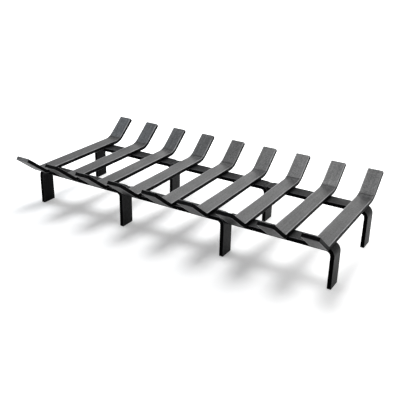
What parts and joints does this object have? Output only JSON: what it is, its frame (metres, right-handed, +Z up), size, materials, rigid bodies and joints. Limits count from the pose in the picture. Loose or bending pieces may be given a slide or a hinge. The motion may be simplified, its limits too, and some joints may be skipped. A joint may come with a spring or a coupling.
{
  "type": "log grate",
  "caption": "Free-standing fireplace grate of bent flat bars welded across two flat-bar rails whose lengths turn down into legs.",
  "frame": {"origin": "centre of the overall box at floor level: the legs stand on Z = 0", "axes": "+X along the rails to the right seen from the front, +Y from the front to the back, +Z up"},
  "size_m": [0.794, 0.4176, 0.1517],
  "materials": {
    "painted_steel": "satin black high-temperature paint on flat steel bar, rounded arrises slightly burnished",
    "painted_weld": "the same satin black paint over a rippled weld bead"
  },
  "bodies": {
    "root": {"bar_1": "painted_steel", "bar_2": "painted_steel", "bar_3": "painted_steel", "bar_4": "painted_steel", "bar_5": "painted_steel", "bar_6": "painted_steel", "bar_7": "painted_steel", "bar_8": "painted_steel", "bar_9": "painted_steel", "front_rail_left": "painted_steel", "front_rail_middle": "painted_steel", "front_rail_right": "painted_steel", "rear_rail_left": "painted_steel", "rear_rail_middle": "painted_steel", "rear_rail_right": "painted_steel", "front_joint_weld_2": "painted_weld", "front_joint_weld_3": "painted_weld", "rear_joint_weld_2": "painted_weld", "rear_joint_weld_3": "painted_weld", "front_bar_weld_1": "painted_weld", "front_bar_weld_2": "painted_weld", "front_bar_weld_3": "painted_weld", "front_bar_weld_4": "painted_weld", "front_bar_weld_5": "painted_weld", "front_bar_weld_6": "painted_weld", "front_bar_weld_7": "painted_weld", "front_bar_weld_8": "painted_weld", "front_bar_weld_9": "painted_weld", "rear_bar_weld_1": "painted_weld", "rear_bar_weld_2": "painted_weld", "rear_bar_weld_3": "painted_weld", "rear_bar_weld_4": "painted_weld", "rear_bar_weld_5": "painted_weld", "rear_bar_weld_6": "painted_weld", "rear_bar_weld_7": "painted_weld", "rear_bar_weld_8": "painted_weld", "rear_bar_weld_9": "painted_weld"}
  },
  "joints": []
}
